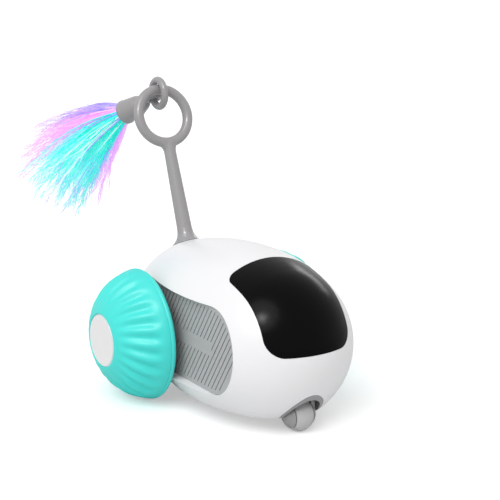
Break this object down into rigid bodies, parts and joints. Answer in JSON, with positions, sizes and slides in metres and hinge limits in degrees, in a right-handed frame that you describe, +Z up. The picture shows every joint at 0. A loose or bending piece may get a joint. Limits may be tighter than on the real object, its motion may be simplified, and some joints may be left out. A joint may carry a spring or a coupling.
{
  "type": "robotic cat toy car",
  "caption": "Egg-shaped robotic cat toy on dome wheels and a swivelling front roller, with a black visor, ribbed side panels and a springy tail that dangles a feather lure.",
  "frame": {"origin": "on the floor, midway between the driven wheels, straight below their axle", "axes": "+Z up, -Y towards the nose and visor, +X towards the car's left wheel"},
  "size_m": [0.1064, 0.1955, 0.1304],
  "materials": {
    "shell_white": "smooth satin moulded plastic",
    "visor_black": "polished infrared-passing black plastic",
    "panel_grey": "fine matt moulded plastic",
    "wheel_teal": "satin moulded plastic",
    "wheel_back_dark": "matt moulded plastic",
    "hub_white": "smooth moulded plastic",
    "frame_dark": "matt moulded plastic",
    "gear_ivory": "moulded acetal",
    "brass": "machined",
    "steel": "bright plated",
    "battery_wrap": "shrink film",
    "board_green": "lacquered board",
    "lamp_clear": "tinted clear resin",
    "caster_grey": "fine matt moulded plastic",
    "roller_grey": "smooth moulded plastic",
    "tail_grey": "soft matt silicone",
    "nut_dark": "moulded plastic",
    "feather_teal": "soft dyed strands",
    "feather_pink": "soft dyed strands",
    "feather_violet": "soft dyed strands"
  },
  "bodies": {
    "car": {"body_shell": "shell_white", "bottom_cover": "shell_white", "visor": "visor_black", "side_panel_right": "panel_grey", "side_panel_left": "panel_grey", "gear_frame": "frame_dark", "power_switch": "frame_dark", "axle_bushes": "brass", "motor_right": "steel", "motor_left": "steel", "gear_pins": "steel", "board_screws": "steel", "rear_board_screws": "steel", "charge_port": "steel", "cover_screws": "steel", "frame_screws": "steel", "battery": "battery_wrap", "main_board": "board_green", "rear_board": "board_green", "sensor_board": "board_green", "infrared_lamps": "lamp_clear", "caster_housing": "caster_grey", "tail": "tail_grey", "tail_nut": "nut_dark"},
    "right_wheel": {"wheel_right": "wheel_teal", "wheel_back_right": "wheel_back_dark", "hub_cap_right": "hub_white", "axle_right": "steel", "final_gear_right": "gear_ivory", "wheel_screw_right": "steel"},
    "left_wheel": {"wheel_left": "wheel_teal", "wheel_back_left": "wheel_back_dark", "hub_cap_left": "hub_white", "axle_left": "steel", "final_gear_left": "gear_ivory", "wheel_screw_left": "steel"},
    "right_compound": {"compound_gear_right": "gear_ivory"},
    "left_compound": {"compound_gear_left": "gear_ivory"},
    "right_pinion": {"motor_pinion_right": "brass"},
    "left_pinion": {"motor_pinion_left": "brass"},
    "caster_swivel": {"caster_fork": "caster_grey", "caster_pin": "steel", "caster_screw": "steel"},
    "caster_roller": {"caster_roller": "roller_grey"},
    "link": {"link_ring": "tail_grey"},
    "lure": {"lure_cap": "tail_grey", "feathers_teal": "feather_teal", "feathers_pink": "feather_pink", "feathers_violet": "feather_violet"},
    "power_button": {"power_button": "wheel_teal"}
  },
  "joints": [
    {"name": "right_wheel_spin", "type": "hinge", "parent": "car", "child": "right_wheel", "pos_m": [-0.042, 0, 0.028], "axis": [1, 0, 0], "continuous": true},
    {"name": "right_compound_spin", "type": "hinge", "parent": "car", "child": "right_compound", "pos_m": [-0.005, -0.01175, 0.03228], "axis": [1, 0, 0], "continuous": true},
    {"name": "right_pinion_spin", "type": "hinge", "parent": "car", "child": "right_pinion", "pos_m": [-0.007, -0.02194, 0.02752], "axis": [1, 0, 0], "continuous": true},
    {"name": "left_wheel_spin", "type": "hinge", "parent": "car", "child": "left_wheel", "pos_m": [0.042, 0, 0.028], "axis": [1, 0, 0], "continuous": true},
    {"name": "left_compound_spin", "type": "hinge", "parent": "car", "child": "left_compound", "pos_m": [0.005, -0.01175, 0.03228], "axis": [1, 0, 0], "continuous": true},
    {"name": "left_pinion_spin", "type": "hinge", "parent": "car", "child": "left_pinion", "pos_m": [0.007, -0.02194, 0.02752], "axis": [1, 0, 0], "continuous": true},
    {"name": "caster_swivel", "type": "hinge", "parent": "car", "child": "caster_swivel", "pos_m": [0, -0.0703, 0.018], "axis": [0, 0, 1], "continuous": true},
    {"name": "caster_roll", "type": "hinge", "parent": "caster_swivel", "child": "caster_roller", "pos_m": [0, -0.0695, 0.0068], "axis": [1, 0, 0], "continuous": true},
    {"name": "link_swing", "type": "hinge", "parent": "car", "child": "link", "pos_m": [0, 0.04518, 0.12461], "axis": [1, 0, 0], "range_deg": [-20, 60]},
    {"name": "lure_swing", "type": "hinge", "parent": "link", "child": "lure", "pos_m": [0, 0.05039, 0.12014], "axis": [0, 0.4695, 0.8829], "range_deg": [-85, 41]},
    {"name": "power_button_press", "type": "slide", "parent": "car", "child": "power_button", "axis": [0, -1, 0], "range_m": [0, 0.0008], "stiffness_N_per_m": 300, "springref_m": -0.001}
  ],
  "couplings": [
    {"joint": "right_compound_spin", "follows": "right_wheel_spin", "ratio": -4},
    {"joint": "right_pinion_spin", "follows": "right_wheel_spin", "ratio": 16},
    {"joint": "left_compound_spin", "follows": "left_wheel_spin", "ratio": -4},
    {"joint": "left_pinion_spin", "follows": "left_wheel_spin", "ratio": 16}
  ]
}
